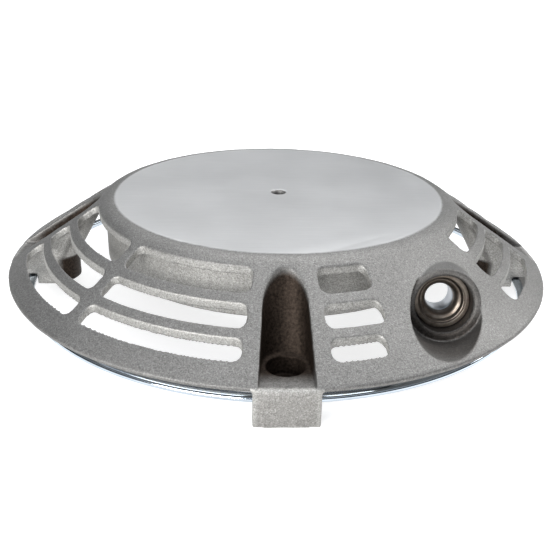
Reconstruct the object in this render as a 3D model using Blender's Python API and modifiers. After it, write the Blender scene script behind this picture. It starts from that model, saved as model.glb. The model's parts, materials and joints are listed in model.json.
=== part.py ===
"""Recoil starter of a small engine: a cast bell housing with its spring, rope pulley and pawl clutch.

Frame: metres, +Z up through the machined face, origin on the ground under the centre of the four feet.
The constants are in millimetres; every helper scales them by MM when it makes a mesh.
"""
import math

import bmesh
import bpy
from mathutils import Vector

MM = 0.001
GAP = 0.3                      # clearance between two pieces that touch

# Bell housing
FACE_Z = 45.5                  # machined top face
FACE_R = 74.1                  # edge of the machined face
SHOULDER_R = 77.4              # where the cone's slope would reach the face's level
CONE_EDGE_R = 121.6
CONE_EDGE_Z = 16.0
RIM_R = 122.5
PARTING_Z = 15.2
LIP_Z = 13.5                   # underside of the rim
WALL = 3.2                     # cast wall, measured square to the cone
CEILING_Z = 40.5               # underside of the top disc
CHAMBER_R = 75.0               # spring chamber, inside
CHAMBER_WALL_R = 78.5
CHAMBER_Z = 20.0
POST_R = 8.0
POST_Z = 10.6
TAP_R = 2.6                    # tapped centre hole
TAP_MOUTH_R = 3.6
CONE_SLOPE = (FACE_Z - CONE_EDGE_Z) / (CONE_EDGE_R - SHOULDER_R)
TURN_STEPS = 72

# Slots of the cone: three rows, and where each group begins and ends
SLOT_ROWS = ((81.6, 90.8), (94.8, 102.9), (106.7, 114.0))
SLOT_CORNER_R = 2.9
LEG_CLEAR_DEG = 8.2            # from a foot's centre line to the nearest slot
RIB_HALF_DEG = 1.6             # half the rib between the two groups of a quarter
NOSE_SLOT_DEG = ((-68.6, -68.8, -70.9), (-33.3, -33.3, -33.6))

# Feet
LEG_AZIMUTHS = (-90.0, 0.0, 90.0, 180.0)
BOLT_R = 105.6                 # bolt circle radius
BOLT_HOLE_R = 4.5
SPOT_R = 7.1                   # counterbore
SPOT_Z = 7.3
FLOOR_Z = 15.1
FOOT_Z = 3.3
TROUGH_BOTTOM = (105.6, 8.9)   # centre radius and half width at the floor
TROUGH_TOP = (87.5, 8.0)       # the same at the machined face's level
TROUGH_FLARE = 0.07            # growth of the half width per mm outwards
LEG_WALL = 3.2
TAB_HALF_WIDTH = 12.05
TAB_R = 122.9
TAB_INNER_R = 117.0
TAB_TOP_Z = 14.9
NOTCH_R = (111.9, 118.4)       # notch that takes the baffle ring
NOTCH_Z = 8.2

# Rope nose: its axis, measured outwards from the mouth
NOSE_MOUTH = Vector((62.25, -78.0, 26.1))
NOSE_AZIMUTH = -93.9
NOSE_RISE = 11.4
NOSE_R = 14.4
NOSE_LENGTH = 25.0
NOSE_CAVITY_R = 11.2
NOSE_CAVITY_DEPTH = 10.2
BUSH_SEAT_R = 8.3
POCKET_R = 15.4
POCKET_WALL = 2.9
POCKET_START = -2.5

# Rotating pieces
PULLEY_R = 72.5
PULLEY_TOP_Z = 29.5
PULLEY_BOTTOM_Z = 19.7
FLANGE = 1.6
GROOVE_R = 57.5
HUB_R = 15.5
HUB_TOP_Z = 38.6
HUB_BOTTOM_Z = 19.0
HUB_BORE_R = 10.0
PAWL_COUNT = 3
PAWL_PIVOT_R = 28.0
PAWL_PIN_R = 2.5
PAWL_Z = (13.6, 18.0)
PAWL_LENGTH = 19.0
PAWL_BOSS_R = 5.2
PAWL_TIP_R = 2.2
PAWL_SWING_DEG = 30.0
PEG_DISTANCE = 10.5
PEG_R = 1.9
PLATE_Z = (11.8, 13.3)
PLATE_R = 40.0
PLATE_TURN_DEG = 30.0

# Spring chamber
SPRING_Z = (33.0, 40.0)
SPRING_RIBBON = 0.9
SPRING_INNER_R = 17.2
SPRING_OUTER_R = 61.0
SPRING_TURNS = 7
ANCHOR_R = 65.0
ANCHOR_AZIMUTH = 90.0
ANCHOR_PIN_R = 1.9
COVER_Z = (31.7, 32.5)
COVER_R = 74.4
LUG_R = 71.0
LUG_AZIMUTHS = (30.0, 150.0, 270.0)


# ---------------------------------------------------------------- helpers

def clear_scene():
    for obj in list(bpy.data.objects):
        bpy.data.objects.remove(obj, do_unlink=True)


def material(name, color, metallic, roughness):
    mat = bpy.data.materials.new(name)
    mat.use_nodes = True
    shader = mat.node_tree.nodes["Principled BSDF"]
    shader.inputs["Base Color"].default_value = (*color, 1.0)
    shader.inputs["Metallic"].default_value = metallic
    shader.inputs["Roughness"].default_value = roughness
    mat.diffuse_color = (*color, 1.0)
    return mat


def add_mesh(name, mesh, mat=None, collection=None):
    obj = bpy.data.objects.new(name, mesh)
    (collection or bpy.context.scene.collection).objects.link(obj)
    if mat:
        mesh.materials.append(mat)
    return obj


def smooth(obj, angle=35.0):
    """Shade round walls smooth and keep edges sharper than the angle."""
    obj.data.shade_smooth()
    obj.data.set_sharp_from_angle(angle=math.radians(angle))
    return obj


def turned(name, profile, mat=None, steps=64, collection=None):
    """A solid turned about its local Z from a closed loop of (radius, height) points.

    The loop runs down the outer side first, so that its faces point outwards.
    """
    mesh = bpy.data.meshes.new(name)
    on_axis = profile[0][0] == 0.0
    points = [(r * MM, 0.0, z * MM) for r, z in profile]
    edges = [(i, i + 1) for i in range(len(points) - 1)]
    if not on_axis:
        edges.append((len(points) - 1, 0))
    mesh.from_pydata(points, edges, [])
    obj = add_mesh(name, mesh, mat, collection)
    screw = obj.modifiers.new("turn", "SCREW")
    screw.axis = "Z"
    screw.angle = math.tau
    screw.steps = steps
    screw.render_steps = steps
    screw.use_merge_vertices = True
    screw.merge_threshold = 1e-6
    screw.use_smooth_shade = False
    return baked(obj)


def baked(obj):
    """Replace the object's mesh by the result of its modifiers."""
    depsgraph = bpy.context.evaluated_depsgraph_get()
    mesh = bpy.data.meshes.new_from_object(obj.evaluated_get(depsgraph))
    old = obj.data
    obj.modifiers.clear()
    obj.data = mesh
    mesh.name = obj.name
    if old.users == 0 and isinstance(old, bpy.types.Mesh):
        bpy.data.meshes.remove(old)
    bm = bmesh.new()
    bm.from_mesh(mesh)
    bmesh.ops.remove_doubles(bm, verts=bm.verts, dist=1e-7)
    bmesh.ops.recalc_face_normals(bm, faces=bm.faces)
    bm.to_mesh(mesh)
    bm.free()
    return obj


def plate(name, outlines, z_low, z_high, mat=None, collection=None):
    """A flat piece from one outer outline and any holes, standing between two heights."""
    curve = bpy.data.curves.new(name, "CURVE")
    curve.dimensions = "2D"
    curve.fill_mode = "BOTH"
    curve.extrude = (z_high - z_low) * MM / 2.0
    for outline in outlines:
        spline = curve.splines.new("POLY")
        spline.points.add(len(outline) - 1)
        for point, (x, y) in zip(spline.points, outline):
            point.co = (x * MM, y * MM, 0.0, 1.0)
        spline.use_cyclic_u = True
    scratch = bpy.data.objects.new(name + "_outline", curve)
    bpy.context.scene.collection.objects.link(scratch)
    depsgraph = bpy.context.evaluated_depsgraph_get()
    mesh = bpy.data.meshes.new_from_object(scratch.evaluated_get(depsgraph))
    bpy.data.objects.remove(scratch, do_unlink=True)
    bpy.data.curves.remove(curve)
    bm = bmesh.new()
    bm.from_mesh(mesh)
    bmesh.ops.remove_doubles(bm, verts=bm.verts, dist=1e-7)
    bmesh.ops.translate(bm, verts=bm.verts, vec=(0.0, 0.0, (z_low + z_high) * MM / 2.0))
    bmesh.ops.recalc_face_normals(bm, faces=bm.faces)
    bm.to_mesh(mesh)
    bm.free()
    mesh.materials.clear()
    mesh.name = name
    return add_mesh(name, mesh, mat, collection)


def wire(name, points, radius, mat, collection=None):
    """A round wire with closed ends along a list of points."""
    curve = bpy.data.curves.new(name, "CURVE")
    curve.dimensions = "3D"
    curve.bevel_depth = radius * MM
    curve.bevel_resolution = 1
    curve.use_fill_caps = True
    spline = curve.splines.new("POLY")
    spline.points.add(len(points) - 1)
    for point, co in zip(spline.points, points):
        point.co = (co[0] * MM, co[1] * MM, co[2] * MM, 1.0)
    scratch = bpy.data.objects.new(name + "_path", curve)
    bpy.context.scene.collection.objects.link(scratch)
    depsgraph = bpy.context.evaluated_depsgraph_get()
    mesh = bpy.data.meshes.new_from_object(scratch.evaluated_get(depsgraph))
    bpy.data.objects.remove(scratch, do_unlink=True)
    bpy.data.curves.remove(curve)
    bm = bmesh.new()
    bm.from_mesh(mesh)
    bmesh.ops.remove_doubles(bm, verts=bm.verts, dist=1e-7)
    bmesh.ops.recalc_face_normals(bm, faces=bm.faces)
    bm.to_mesh(mesh)
    bm.free()
    mesh.materials.clear()
    mesh.name = name
    return add_mesh(name, mesh, mat, collection)


def loft(name, loops, collection=None):
    """A closed solid through a stack of loops that have the same number of points."""
    bm = bmesh.new()
    rings = [[bm.verts.new(Vector(p) * MM) for p in loop] for loop in loops]
    count = len(rings[0])
    for low, high in zip(rings, rings[1:]):
        for i in range(count):
            j = (i + 1) % count
            bm.faces.new((low[i], low[j], high[j], high[i]))
    bm.faces.new(list(reversed(rings[0])))
    bm.faces.new(rings[-1])
    bmesh.ops.recalc_face_normals(bm, faces=bm.faces)
    mesh = bpy.data.meshes.new(name)
    bm.to_mesh(mesh)
    bm.free()
    return add_mesh(name, mesh, None, collection)


def cutter_collection(name):
    collection = bpy.data.collections.new(name)
    bpy.context.scene.collection.children.link(collection)
    return collection


def boolean(obj, operation, operand):
    """Add an exact Boolean with an object or a collection of objects."""
    modifier = obj.modifiers.new(operation.lower(), "BOOLEAN")
    modifier.operation = operation
    modifier.solver = "EXACT"
    if isinstance(operand, bpy.types.Collection):
        modifier.operand_type = "COLLECTION"
        modifier.collection = operand
        members = list(operand.objects)
    else:
        modifier.object = operand
        members = [operand]
    for member in members:
        member.hide_render = True
        member.display_type = "WIRE"
    return modifier


def circle(radius, centre=(0.0, 0.0), count=48):
    turn = math.tau / count
    return [(centre[0] + radius * math.cos(i * turn), centre[1] + radius * math.sin(i * turn))
            for i in range(count)]


def arc(centre, radius, start_deg, end_deg, count):
    """Points of an arc, both ends included."""
    span = math.radians(end_deg - start_deg)
    start = math.radians(start_deg)
    return [(centre[0] + radius * math.cos(start + span * i / count),
             centre[1] + radius * math.sin(start + span * i / count)) for i in range(count + 1)]


def polar(radius, azimuth_deg):
    angle = math.radians(azimuth_deg)
    return (radius * math.cos(angle), radius * math.sin(angle))


def sector(r_in, r_out, start_deg, end_deg, corner_r):
    """Outline of a ring sector with rounded corners."""
    r_mid = (r_in + r_out) / 2.0
    width = math.radians(end_deg - start_deg) * r_mid
    sides = max(2, round(width / 10.0))
    corners = (((width - corner_r, r_in + corner_r), -90.0), ((width - corner_r, r_out - corner_r), 0.0),
               ((corner_r, r_out - corner_r), 90.0), ((corner_r, r_in + corner_r), 180.0))
    flat = []
    for number, (centre, start) in enumerate(corners):
        flat += arc(centre, corner_r, start, start + 90.0, 3)
        if number in (1, 3):
            begin, run = (width - corner_r, 2 * corner_r - width) if number == 1 else (corner_r, width - 2 * corner_r)
            radius = r_out if number == 1 else r_in
            flat += [(begin + run * i / sides, radius) for i in range(1, sides)]
    start_angle = math.radians(start_deg)
    return [(r * math.cos(start_angle + s / r_mid), r * math.sin(start_angle + s / r_mid)) for s, r in flat]


def trough_loop(centre_r, half_width, z, outer_r, azimuth_deg):
    """A U-shaped loop that opens outwards along the given azimuth."""
    shape = arc((centre_r, 0.0), half_width, 90.0, 270.0, 10)
    end = half_width + TROUGH_FLARE * (outer_r - centre_r)
    shape += [(outer_r, -end), (outer_r, end)]
    angle = math.radians(azimuth_deg)
    return [(x * math.cos(angle) - y * math.sin(angle), x * math.sin(angle) + y * math.cos(angle), z)
            for x, y in shape]


def nose_direction():
    rise = math.radians(NOSE_RISE)
    x, y = polar(math.cos(rise), NOSE_AZIMUTH)
    return Vector((x, y, math.sin(rise)))


def on_nose(obj):
    """Stand an object on the rope nose: its local +Z points out of the mouth."""
    obj.location = NOSE_MOUTH * MM
    obj.rotation_mode = "QUATERNION"
    obj.rotation_quaternion = nose_direction().to_track_quat("Z", "Y")
    return obj


def solid_cylinder(radius, low, high):
    return [(0.0, high), (radius, high), (radius, low), (0.0, low)]


# ---------------------------------------------------------------- housing

def cone_z(radius):
    return FACE_Z - CONE_SLOPE * (radius - SHOULDER_R)


def shell_profile():
    """Section of the turned shell: top disc, cone, rim, spring chamber and centre post."""
    slope = math.atan(CONE_SLOPE)
    down = WALL / math.cos(slope)
    shoulder = SHOULDER_R - FACE_R
    end_r = SHOULDER_R + shoulder * math.cos(slope)
    end_z = FACE_Z - shoulder * math.sin(slope)
    profile = [(TAP_MOUTH_R, FACE_Z)]
    for i in range(6):
        t = i / 5.0
        r = (1 - t) ** 2 * FACE_R + 2 * t * (1 - t) * SHOULDER_R + t * t * end_r
        z = (1 - t) ** 2 * FACE_Z + 2 * t * (1 - t) * FACE_Z + t * t * end_z
        profile.append((r, z))
    profile += [(CONE_EDGE_R, CONE_EDGE_Z), (RIM_R, PARTING_Z), (RIM_R - 0.6, LIP_Z)]
    inner_r = SHOULDER_R + (FACE_Z - down - LIP_Z) / CONE_SLOPE
    profile += [(inner_r, LIP_Z), (CHAMBER_WALL_R, cone_z(CHAMBER_WALL_R) - down),
                (CHAMBER_WALL_R, CHAMBER_Z + 0.6), (CHAMBER_WALL_R - 0.6, CHAMBER_Z),
                (CHAMBER_R + 0.6, CHAMBER_Z), (CHAMBER_R, CHAMBER_Z + 0.6),
                (CHAMBER_R, CEILING_Z - 1.5), (CHAMBER_R - 1.5, CEILING_Z),
                (POST_R + 1.5, CEILING_Z), (POST_R, CEILING_Z - 1.5),
                (POST_R, POST_Z + 0.5), (POST_R - 0.5, POST_Z), (TAP_R, POST_Z),
                (TAP_R, FACE_Z - (TAP_MOUTH_R - TAP_R))]
    return profile


def leg_solids(collection, envelope):
    """The feet: a U-shaped block round each trough and bolt, and the hooked tab outside the rim."""
    for number, azimuth in enumerate(LEG_AZIMUTHS):
        bottom_r, bottom_w = TROUGH_BOTTOM
        top_r, top_w = TROUGH_TOP
        loops = [trough_loop(bottom_r, bottom_w + LEG_WALL, z, RIM_R + 4.0, azimuth)
                 for z in (FOOT_Z, FLOOR_Z)]
        loops.append(trough_loop(top_r, top_w + LEG_WALL, FACE_Z, RIM_R + 4.0, azimuth))
        block = loft(f"leg_block_{number}", loops, collection)
        boolean(block, "INTERSECT", envelope)
        half = math.degrees(math.asin(TAB_HALF_WIDTH / TAB_R))
        outline = arc((0.0, 0.0), TAB_R, azimuth - half, azimuth + half, 8)
        inner = math.degrees(math.asin(TAB_HALF_WIDTH / TAB_INNER_R))
        outline += arc((0.0, 0.0), TAB_INNER_R, azimuth + inner, azimuth - inner, 8)
        plate(f"leg_tab_{number}", [outline], 0.0, TAB_TOP_Z, None, collection)


def slot_groups():
    """Start and end azimuth of every slot, row by row."""
    for row in range(len(SLOT_ROWS)):
        for quarter in (0.0, 90.0, 180.0):
            middle = quarter + 45.0
            yield row, quarter + LEG_CLEAR_DEG, middle - RIB_HALF_DEG
            yield row, middle + RIB_HALF_DEG, quarter + 90.0 - LEG_CLEAR_DEG
        yield row, -90.0 + LEG_CLEAR_DEG, NOSE_SLOT_DEG[0][row]
        yield row, NOSE_SLOT_DEG[1][row], -LEG_CLEAR_DEG


def housing(mat):
    body = turned("housing", shell_profile(), mat, TURN_STEPS)
    forms = cutter_collection("forms")
    low = FACE_Z - 1.2
    envelope = turned("envelope", [(0.0, low), (SHOULDER_R, low),
                                   (RIM_R - 0.4, cone_z(RIM_R - 0.4) - 1.2), (RIM_R - 0.4, -5.0), (0.0, -5.0)],
                      None, TURN_STEPS, forms)

    adds = cutter_collection("housing_adds")
    leg_solids(adds, envelope)
    for number, azimuth in enumerate(LUG_AZIMUTHS):
        plate(f"lug_{number}", [circle(4.5, polar(LUG_R, azimuth), 24)], COVER_Z[1] + GAP, CEILING_Z + 1.0,
              None, adds)
    pocket_skin = on_nose(turned("pocket_skin", solid_cylinder(POCKET_R + POCKET_WALL, -6.0, 32.0),
                                 None, 48, adds))
    boolean(pocket_skin, "INTERSECT", envelope)
    boolean(body, "UNION", adds)
    baked(body)

    cuts = cutter_collection("housing_cuts")
    for number, (row, start, end) in enumerate(slot_groups()):
        r_in, r_out = SLOT_ROWS[row]
        plate(f"slot_{number}", [sector(r_in, r_out, start, end, SLOT_CORNER_R)], 9.0, FACE_Z + 5.0, None, cuts)
    for number, azimuth in enumerate(LEG_AZIMUTHS):
        loft(f"trough_{number}", [
            trough_loop(*TROUGH_BOTTOM, FLOOR_Z, RIM_R + 12.0, azimuth),
            trough_loop(*TROUGH_TOP, FACE_Z, RIM_R + 12.0, azimuth),
            trough_loop(*TROUGH_TOP, FACE_Z + 12.0, RIM_R + 12.0, azimuth)], cuts)
    on_nose(turned("pocket", solid_cylinder(POCKET_R, POCKET_START, 52.0), None, 40, cuts))
    boolean(body, "DIFFERENCE", cuts)
    baked(body)

    nose = on_nose(turned("nose", [(0.0, 0.0), (NOSE_R - 0.5, 0.0), (NOSE_R, -0.5), (NOSE_R, -NOSE_LENGTH),
                                   (0.0, -NOSE_LENGTH)], None, 40, forms))
    boolean(body, "UNION", nose)
    baked(body)

    bores = cutter_collection("housing_bores")
    floor = -NOSE_CAVITY_DEPTH
    on_nose(turned("nose_bore", [(0.0, 3.0), (NOSE_CAVITY_R + 0.9, 3.0), (NOSE_CAVITY_R + 0.9, 0.0), (NOSE_CAVITY_R, -0.9),
                                 (NOSE_CAVITY_R, floor), (BUSH_SEAT_R, floor),
                                 (BUSH_SEAT_R, -NOSE_LENGTH - 6.0), (0.0, -NOSE_LENGTH - 6.0)], None, 40, bores))
    for number, azimuth in enumerate(LEG_AZIMUTHS):
        spot = turned(f"bolt_{number}", [(0.0, FLOOR_Z + 6.0), (SPOT_R, FLOOR_Z + 6.0), (SPOT_R, SPOT_Z),
                                         (BOLT_HOLE_R, SPOT_Z), (BOLT_HOLE_R, -2.0), (0.0, -2.0)], None, 24, bores)
        x, y = polar(BOLT_R, azimuth)
        spot.location = (x * MM, y * MM, 0.0)
    turned("ring_notch", [(NOTCH_R[1], NOTCH_Z), (NOTCH_R[1], -3.0), (NOTCH_R[0], -3.0), (NOTCH_R[0], NOTCH_Z)],
           None, TURN_STEPS, bores)
    for number, azimuth in enumerate(LUG_AZIMUTHS):
        plate(f"lug_hole_{number}", [circle(2.0, polar(LUG_R, azimuth), 16)], COVER_Z[1] - 1.0, 38.5, None, bores)
    plate("anchor_hole", [circle(ANCHOR_PIN_R + GAP, polar(ANCHOR_R, ANCHOR_AZIMUTH), 16)], CEILING_Z - 1.0, 43.0,
          None, bores)
    mouth_x = NOSE_MOUTH.x
    plate("rope_window", [[(mouth_x - 6.0, -32.0), (mouth_x - 6.0, -54.0), (mouth_x + 8.0, -54.0),
                           (mouth_x + 8.0, -32.0)]], CHAMBER_Z - 3.0, PULLEY_TOP_Z, None, bores)
    boolean(body, "DIFFERENCE", bores)
    return smooth(baked(body), 30.0)


def baffle_ring(mat):
    outer = 115.9
    inner = NOTCH_R[0] + GAP
    return smooth(turned("baffle_ring", [(inner + 0.4, 7.8), (outer - 0.6, 7.8), (outer, 7.2), (outer, 5.8),
                                         (outer - 0.6, 5.2), (inner + 0.4, 5.2), (inner, 5.6), (inner, 7.4)],
                         mat, TURN_STEPS))


def rope_bush(mat):
    """Stepped guide with a rounded funnel; its local Z is the nose's axis."""
    seat = -NOSE_CAVITY_DEPTH + GAP
    bore = 5.4
    steps = ((9.6, seat + 1.6), (9.0, seat + 1.6), (8.4, seat + 0.2), (7.6, seat + 0.2), (7.0, -12.6),
             (6.2, -12.6), (5.7, -13.2), (bore, -14.2))
    profile = [(9.9, seat + 1.3), (9.9, seat), (BUSH_SEAT_R - GAP, seat), (BUSH_SEAT_R - GAP, -NOSE_LENGTH + 0.5),
               (BUSH_SEAT_R - GAP - 0.5, -NOSE_LENGTH), (bore + 0.6, -NOSE_LENGTH), (bore, -NOSE_LENGTH + 0.6)]
    profile += list(reversed(steps))
    return smooth(on_nose(turned("rope_bush", profile, mat, 36)))


def bush_ring(mat):
    seat = -NOSE_CAVITY_DEPTH + GAP
    outer = NOSE_CAVITY_R - 0.15
    top = seat + 3.1
    return smooth(on_nose(turned("bush_ring", [(outer, top), (outer, seat + 1.9), (9.3, seat + 1.9), (9.3, top)],
                                 mat, 48)))


# ---------------------------------------------------------------- spring chamber

def ribbon_outline(points, thickness):
    """Both sides of a ribbon that follows a list of points."""
    left = []
    right = []
    last = len(points) - 1
    for i, point in enumerate(points):
        before = points[max(i - 1, 0)]
        after = points[min(i + 1, last)]
        along = Vector((after[0] - before[0], after[1] - before[1])).normalized()
        side = Vector((-along.y, along.x)) * (thickness / 2.0)
        left.append((point[0] + side.x, point[1] + side.y))
        right.append((point[0] - side.x, point[1] - side.y))
    return left + list(reversed(right))


def recoil_spring(mat):
    """Flat spiral: a hook into the hub's notch, the turns, and an eye round the anchor pin."""
    hook_in = 13.4
    bend = 1.8
    path = [(hook_in + i * (SPRING_INNER_R - bend - hook_in) / 3.0, 0.0) for i in range(4)]
    path += arc((SPRING_INNER_R - bend, bend), bend, -90.0, 0.0, 4)[1:]
    start = math.degrees(math.atan2(bend, SPRING_INNER_R))
    end = 360.0 * SPRING_TURNS + ANCHOR_AZIMUTH - 12.0
    count = 20 * SPRING_TURNS
    for i in range(1, count + 1):
        azimuth = start + (end - start) * i / count
        path.append(polar(SPRING_INNER_R + (SPRING_OUTER_R - SPRING_INNER_R) * i / count, azimuth))
    eye = Vector(polar(ANCHOR_R, ANCHOR_AZIMUTH))
    eye_r = ANCHOR_PIN_R + GAP + SPRING_RIBBON / 2.0
    path += [tuple(eye + Vector(p)) for p in arc((0.0, 0.0), eye_r, -80.0, 150.0, 12)]
    return smooth(plate("recoil_spring", [ribbon_outline(path, SPRING_RIBBON)], *SPRING_Z, mat))


def spring_anchor_pin(mat):
    pin = smooth(turned("spring_anchor_pin", [(0.0, 42.7), (ANCHOR_PIN_R - 0.3, 42.7), (ANCHOR_PIN_R, 42.4),
                                              (ANCHOR_PIN_R, 33.0), (ANCHOR_PIN_R - 0.3, 32.8), (0.0, 32.8)],
                        mat, 24))
    x, y = polar(ANCHOR_R, ANCHOR_AZIMUTH)
    pin.location = (x * MM, y * MM, 0.0)
    return pin


def spring_cover(mat):
    holes = [circle(2.1, polar(LUG_R, azimuth), 20) for azimuth in LUG_AZIMUTHS]
    return smooth(plate("spring_cover", [circle(COVER_R, count=96), circle(HUB_R + 0.8, count=48)] + holes,
                        *COVER_Z, mat))


def cover_screws(mat):
    """Pan-head screws with a driver slot."""
    slots = cutter_collection("screw_slots")
    for number, azimuth in enumerate(LUG_AZIMUTHS, 1):
        x, y = polar(LUG_R, azimuth)
        screw = turned(f"cover_screw_{number}", [(0.0, 38.0), (1.3, 38.0), (1.7, 37.5), (1.7, COVER_Z[0] - GAP),
                                                 (3.5, COVER_Z[0] - GAP), (3.5, 30.3), (3.1, 29.9), (0.0, 29.9)],
                       mat, 24)
        slot = plate(f"screw_slot_{number}", [[(-4.0, -0.45), (4.0, -0.45), (4.0, 0.45), (-4.0, 0.45)]],
                     29.0, 30.5, None, slots)
        slot.location = (x * MM, y * MM, 0.0)
        slot.rotation_euler.z = math.radians(azimuth + 40.0 * number)
        screw.location = (x * MM, y * MM, 0.0)
        boolean(screw, "DIFFERENCE", slot)
        smooth(baked(screw))


# ---------------------------------------------------------------- pulley and clutch

def rope_pulley(mat, axis):
    top, bottom = PULLEY_TOP_Z, PULLEY_BOTTOM_Z
    pulley = turned("rope_pulley", [
        (HUB_R, HUB_TOP_Z), (HUB_R, 30.0), (HUB_R + 2.5, 27.5), (40.0, 26.5), (42.0, 26.0), (53.5, 26.0), (55.0, top),
        (PULLEY_R - 0.5, top), (PULLEY_R, top - 0.5), (PULLEY_R, top - FLANGE), (GROOVE_R + 1.0, top - FLANGE - 0.5),
        (GROOVE_R, top - FLANGE - 1.5), (GROOVE_R, bottom + FLANGE + 1.5), (GROOVE_R + 1.0, bottom + FLANGE + 0.5),
        (PULLEY_R, bottom + FLANGE), (PULLEY_R, bottom + 0.5), (PULLEY_R - 0.5, bottom), (55.0, bottom),
        (53.5, 23.0), (42.0, 23.0), (40.0, 21.0), (HUB_R + 0.5, 21.0), (HUB_R + 0.5, HUB_BOTTOM_Z),
        (HUB_BORE_R, HUB_BOTTOM_Z), (HUB_BORE_R, HUB_TOP_Z)], mat, 48)
    cuts = cutter_collection("pulley_cuts")
    plate("hook_notch", [[(12.6, -1.1), (18.0, -1.1), (18.0, 1.1), (12.6, 1.1)]], SPRING_Z[0] - 0.5, 45.0, None, cuts)
    for k in range(PAWL_COUNT):
        centre = polar(PAWL_PIVOT_R, 360.0 * k / PAWL_COUNT)
        plate(f"pin_hole_{k}", [circle(PAWL_PIN_R + GAP, centre, 20)], 18.0, 24.8, None, cuts)
    knot = turned("knot_hole", solid_cylinder(3.2, 48.0, 62.0), None, 24, cuts)
    knot.rotation_euler = (math.radians(90.0), 0.0, math.radians(60.0))
    knot.location = (0.0, 0.0, 24.6 * MM)
    boolean(pulley, "DIFFERENCE", cuts)
    smooth(baked(pulley))
    pulley.parent = axis
    return pulley


def pulley_bearing(mat, axis):
    inner, outer = POST_R + 0.2, HUB_BORE_R - GAP
    bush = smooth(turned("pulley_bearing", [(outer - 0.3, 38.4), (outer, 38.1), (outer, 19.3), (inner, 19.3),
                                            (inner, 38.4)], mat, 48))
    bush.parent = axis
    return bush


def tapered_bar(length, big_r, small_r):
    """Outline of a bar from a round boss at the origin to a small round tip towards -Y."""
    lean = math.degrees(math.asin((big_r - small_r) / length))
    outline = arc((0.0, 0.0), big_r, -lean, 180.0 + lean, 20)
    return outline + arc((0.0, -length), small_r, 180.0 + lean, 360.0 - lean, 10)


def pawls(mat, axis):
    pegs = cutter_collection("pegs")
    for k in range(PAWL_COUNT):
        azimuth = 360.0 * k / PAWL_COUNT
        pawl = plate(f"pawl_{k + 1}", [tapered_bar(PAWL_LENGTH, PAWL_BOSS_R, PAWL_TIP_R),
                                       circle(PAWL_PIN_R + GAP, count=20)], *PAWL_Z, mat)
        peg = plate(f"peg_{k + 1}", [circle(PEG_R, (0.0, -PEG_DISTANCE), 20)], 11.0, PAWL_Z[0] + 1.0, None, pegs)
        x, y = polar(PAWL_PIVOT_R, azimuth)
        for obj in (pawl, peg):
            obj.location = (x * MM, y * MM, 0.0)
            obj.rotation_euler.z = math.radians(azimuth)
        boolean(pawl, "UNION", peg)
        smooth(baked(pawl))
        pawl.parent = axis


def pawl_pins(mat, axis):
    for k in range(PAWL_COUNT):
        pin = smooth(turned(f"pawl_pin_{k + 1}", [(0.0, 24.5), (PAWL_PIN_R - 0.4, 24.5), (PAWL_PIN_R, 24.1),
                                                  (PAWL_PIN_R, 14.0), (PAWL_PIN_R - 0.4, 13.6), (0.0, 13.6)],
                            mat, 24))
        x, y = polar(PAWL_PIVOT_R, 360.0 * k / PAWL_COUNT)
        pin.location = (x * MM, y * MM, 0.0)
        pin.parent = axis


def pawl_springs(mat, axis):
    """Small torsion springs round the pins, one leg on the pulley and one on the pawl."""
    coil_r = PAWL_PIN_R + GAP + 0.75
    low, high = 18.75, 20.2
    turns = 1.5
    count = 18
    for k in range(PAWL_COUNT):
        path = [(coil_r, -4.5, low)]
        for i in range(count + 1):
            t = i / count
            x, y = polar(coil_r, 360.0 * turns * t)
            path.append((x, y, low + (high - low) * t))
        path.append((-coil_r, -4.5, high))
        spring = smooth(wire(f"pawl_spring_{k + 1}", path, 0.4, mat))
        azimuth = 360.0 * k / PAWL_COUNT
        x, y = polar(PAWL_PIVOT_R, azimuth)
        spring.location = (x * MM, y * MM, 0.0)
        spring.rotation_euler.z = math.radians(azimuth)
        spring.parent = axis


def peg_path(share):
    """Where a peg stands in the guide plate's frame, for a share of the full swing."""
    swing = math.radians(PAWL_SWING_DEG * share)
    x = PAWL_PIVOT_R + PEG_DISTANCE * math.sin(swing)
    y = -PEG_DISTANCE * math.cos(swing)
    turn = -math.radians(PLATE_TURN_DEG * share)
    return (x * math.cos(turn) - y * math.sin(turn), x * math.sin(turn) + y * math.cos(turn))


def slot_outline(azimuth_deg):
    """A curved slot that clears a peg over its whole path."""
    radius = PEG_R + 0.45
    path = [peg_path(i / 8.0) for i in range(-1, 10)]
    middle = path[1:-1]
    sides = ribbon_outline(middle, 2.0 * radius)
    half = len(sides) // 2
    start, end = middle[0], middle[-1]
    first = Vector((start[0] - path[0][0], start[1] - path[0][1]))
    last = Vector((path[-1][0] - end[0], path[-1][1] - end[1]))
    back = math.degrees(math.atan2(-first.y, -first.x))
    front = math.degrees(math.atan2(last.y, last.x))
    outline = sides[:half] + arc(end, radius, front + 90.0, front - 90.0, 10)[1:-1]
    outline += sides[half:] + arc(start, radius, back + 90.0, back - 90.0, 10)[1:-1]
    angle = math.radians(azimuth_deg)
    return [(x * math.cos(angle) - y * math.sin(angle), x * math.sin(angle) + y * math.cos(angle))
            for x, y in outline]


def guide_plate(mat, axis):
    slots = [slot_outline(360.0 * k / PAWL_COUNT) for k in range(PAWL_COUNT)]
    piece = smooth(plate("guide_plate", [circle(PLATE_R, count=72), circle(POST_R + GAP, count=40)] + slots,
                         *PLATE_Z, mat))
    piece.parent = axis
    return piece


def brake_pieces(mat_spring, mat_washer, axis):
    """Coil spring that presses the guide plate down, and the washer that it rubs on."""
    coil_r = 10.9
    low, high = 14.45, 18.0
    count = 32
    path = []
    for i in range(count + 1):
        t = i / count
        x, y = polar(coil_r, 720.0 * t)
        path.append((x, y, low + (high - low) * t))
    spring = smooth(wire("brake_spring", path, 0.7, mat_spring))
    spring.parent = axis
    smooth(turned("brake_washer", [(15.0, 11.5), (15.0, 10.65), (POST_R + GAP, 10.65), (POST_R + GAP, 11.5)],
                  mat_washer, 48))


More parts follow.
